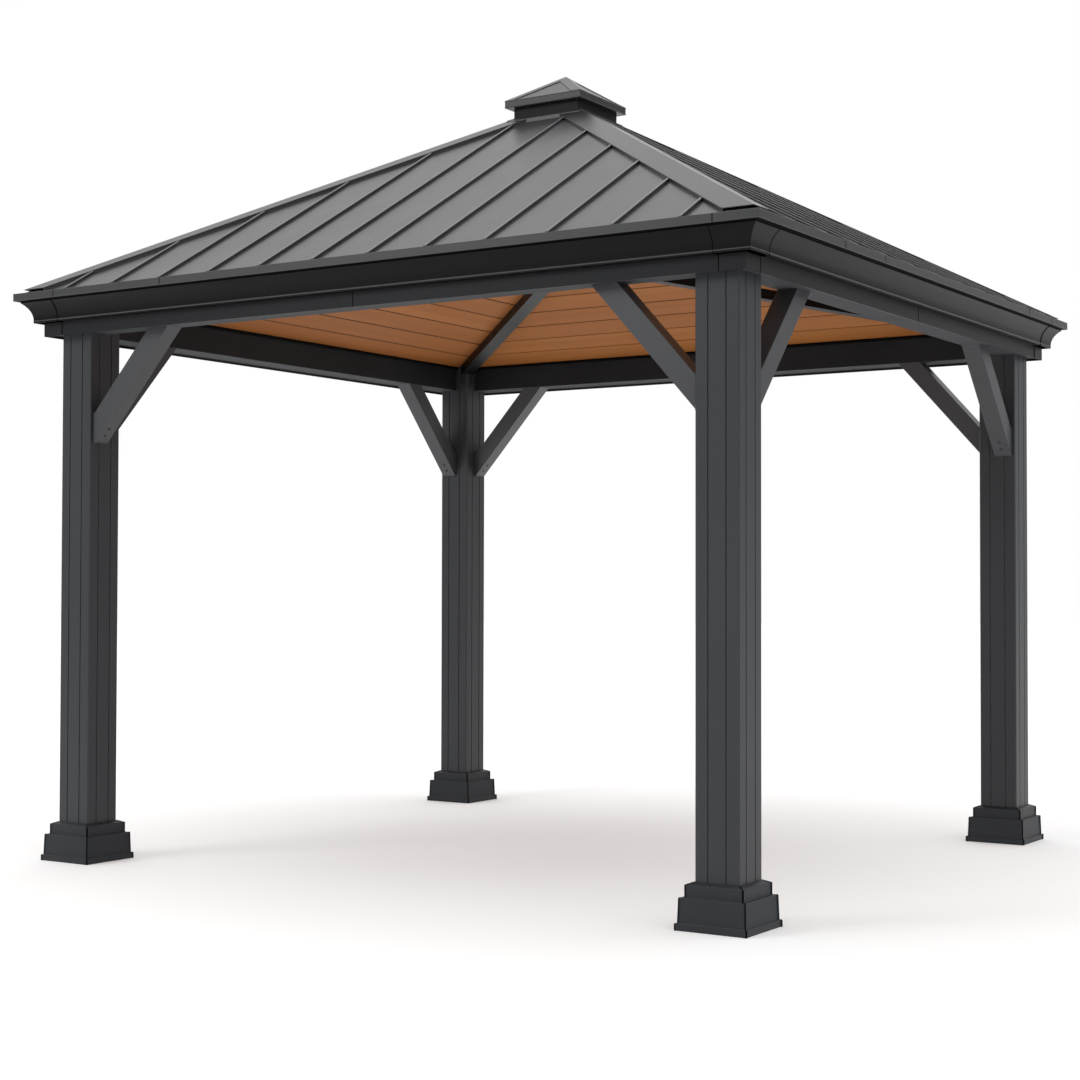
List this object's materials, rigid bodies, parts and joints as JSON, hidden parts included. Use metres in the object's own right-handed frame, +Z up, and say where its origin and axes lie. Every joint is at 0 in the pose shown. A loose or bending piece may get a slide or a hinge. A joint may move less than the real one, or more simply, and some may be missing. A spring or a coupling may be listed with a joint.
{
  "type": "metal gazebo",
  "caption": "Open square-post metal gazebo with a hipped standing-seam roof, knee braces and a board ceiling, for shade over a patio.",
  "frame": {"origin": "on the ground, under the middle of the roof", "axes": "+X along the longer eave to the right, -Y at the front, +Z up"},
  "size_m": [3.66, 3.37, 3.586],
  "materials": {
    "frame_metal": "satin",
    "base_cover": "satin",
    "eave_metal": "satin",
    "roof_sheet": "satin",
    "roof_flashing": "satin",
    "ceiling_boards": "matte"
  },
  "bodies": {
    "root": {"front_left_post": "frame_metal", "front_right_post": "frame_metal", "back_right_post": "frame_metal", "back_left_post": "frame_metal", "front_left_base": "base_cover", "front_right_base": "base_cover", "back_right_base": "base_cover", "back_left_base": "base_cover", "front_beam": "frame_metal", "right_beam": "frame_metal", "back_beam": "frame_metal", "left_beam": "frame_metal", "front_left_braces": "frame_metal", "front_right_braces": "frame_metal", "back_right_braces": "frame_metal", "back_left_braces": "frame_metal", "front_cornice": "eave_metal", "right_cornice": "eave_metal", "back_cornice": "eave_metal", "left_cornice": "eave_metal", "front_eave_trim": "eave_metal", "right_eave_trim": "eave_metal", "back_eave_trim": "eave_metal", "left_eave_trim": "eave_metal", "front_ceiling": "ceiling_boards", "right_ceiling": "ceiling_boards", "back_ceiling": "ceiling_boards", "left_ceiling": "ceiling_boards", "front_left_rafter": "frame_metal", "front_right_rafter": "frame_metal", "back_right_rafter": "frame_metal", "back_left_rafter": "frame_metal", "rafter_hub": "frame_metal", "front_roof": "roof_sheet", "right_roof": "roof_sheet", "back_roof": "roof_sheet", "left_roof": "roof_sheet", "front_left_hip_cap": "roof_flashing", "front_right_hip_cap": "roof_flashing", "back_right_hip_cap": "roof_flashing", "back_left_hip_cap": "roof_flashing", "vent_skirt": "roof_flashing", "vent_box": "frame_metal", "vent_hood": "roof_flashing"}
  },
  "joints": []
}
